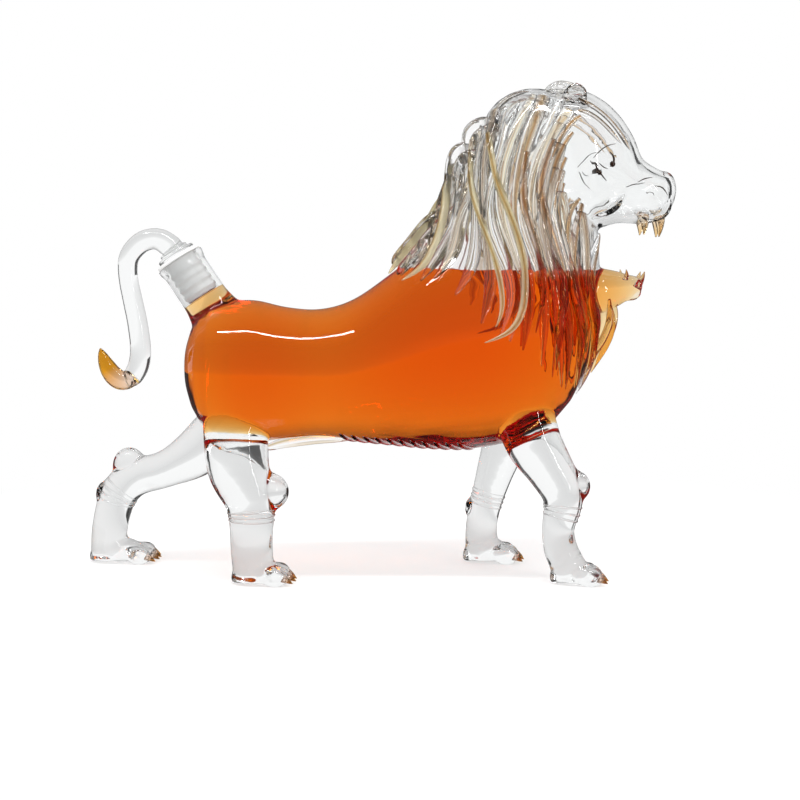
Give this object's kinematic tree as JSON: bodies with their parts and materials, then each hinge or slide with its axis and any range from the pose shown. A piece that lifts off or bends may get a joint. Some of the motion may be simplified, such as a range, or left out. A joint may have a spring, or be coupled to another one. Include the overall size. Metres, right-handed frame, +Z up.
{
  "type": "figural liquor decanter",
  "caption": "Walking lion of clear blown glass that holds liquor in its body, with a lift-out tail as the stopper of a short tilted neck on the rump.",
  "frame": {"origin": "centre of the bounding box at the level of the paw soles", "axes": "+X the way the lion walks, +Z up, its right side at -Y"},
  "size_m": [0.2545, 0.075, 0.2089],
  "materials": {
    "clear_glass": "polished",
    "amber_glass": "polished",
    "eye_glass": "polished",
    "liquor": "gloss",
    "silicone": "satin"
  },
  "bodies": {
    "decanter": {"torso_shell": "clear_glass", "head_shell": "clear_glass", "bottle_neck": "clear_glass", "mane_crest": "clear_glass", "beard": "clear_glass", "forelock": "clear_glass", "right_ear": "clear_glass", "left_ear": "clear_glass", "belly_fringe": "clear_glass", "belly_tuft": "clear_glass", "right_mane_rear": "clear_glass", "right_mane_middle": "clear_glass", "right_mane_front": "clear_glass", "right_cheek_ruff": "clear_glass", "right_fore_leg": "clear_glass", "right_fore_paw": "clear_glass", "right_hind_leg": "clear_glass", "right_hind_paw": "clear_glass", "left_mane_rear": "clear_glass", "left_mane_middle": "clear_glass", "left_mane_front": "clear_glass", "left_cheek_ruff": "clear_glass", "left_fore_leg": "clear_glass", "left_fore_paw": "clear_glass", "left_hind_leg": "clear_glass", "left_hind_paw": "clear_glass", "upper_fangs": "amber_glass", "lower_fangs": "amber_glass", "right_fore_claws": "amber_glass", "right_hind_claws": "amber_glass", "left_fore_claws": "amber_glass", "left_hind_claws": "amber_glass", "right_eye": "eye_glass", "left_eye": "eye_glass", "liquor": "liquor"},
    "plug": {"stopper_plug": "silicone"},
    "tail": {"stopper_stem": "clear_glass", "tail_rod": "clear_glass", "tail_tuft": "amber_glass"}
  },
  "joints": [
    {"name": "stopper_pull", "type": "slide", "parent": "decanter", "child": "plug", "axis": [-0.5446, 0, 0.8387], "range_m": [0, 0.045]},
    {"name": "tail_twist", "type": "hinge", "parent": "plug", "child": "tail", "pos_m": [-0.0694, 0, 0.1149], "axis": [-0.5446, 0, 0.8387], "continuous": true}
  ]
}
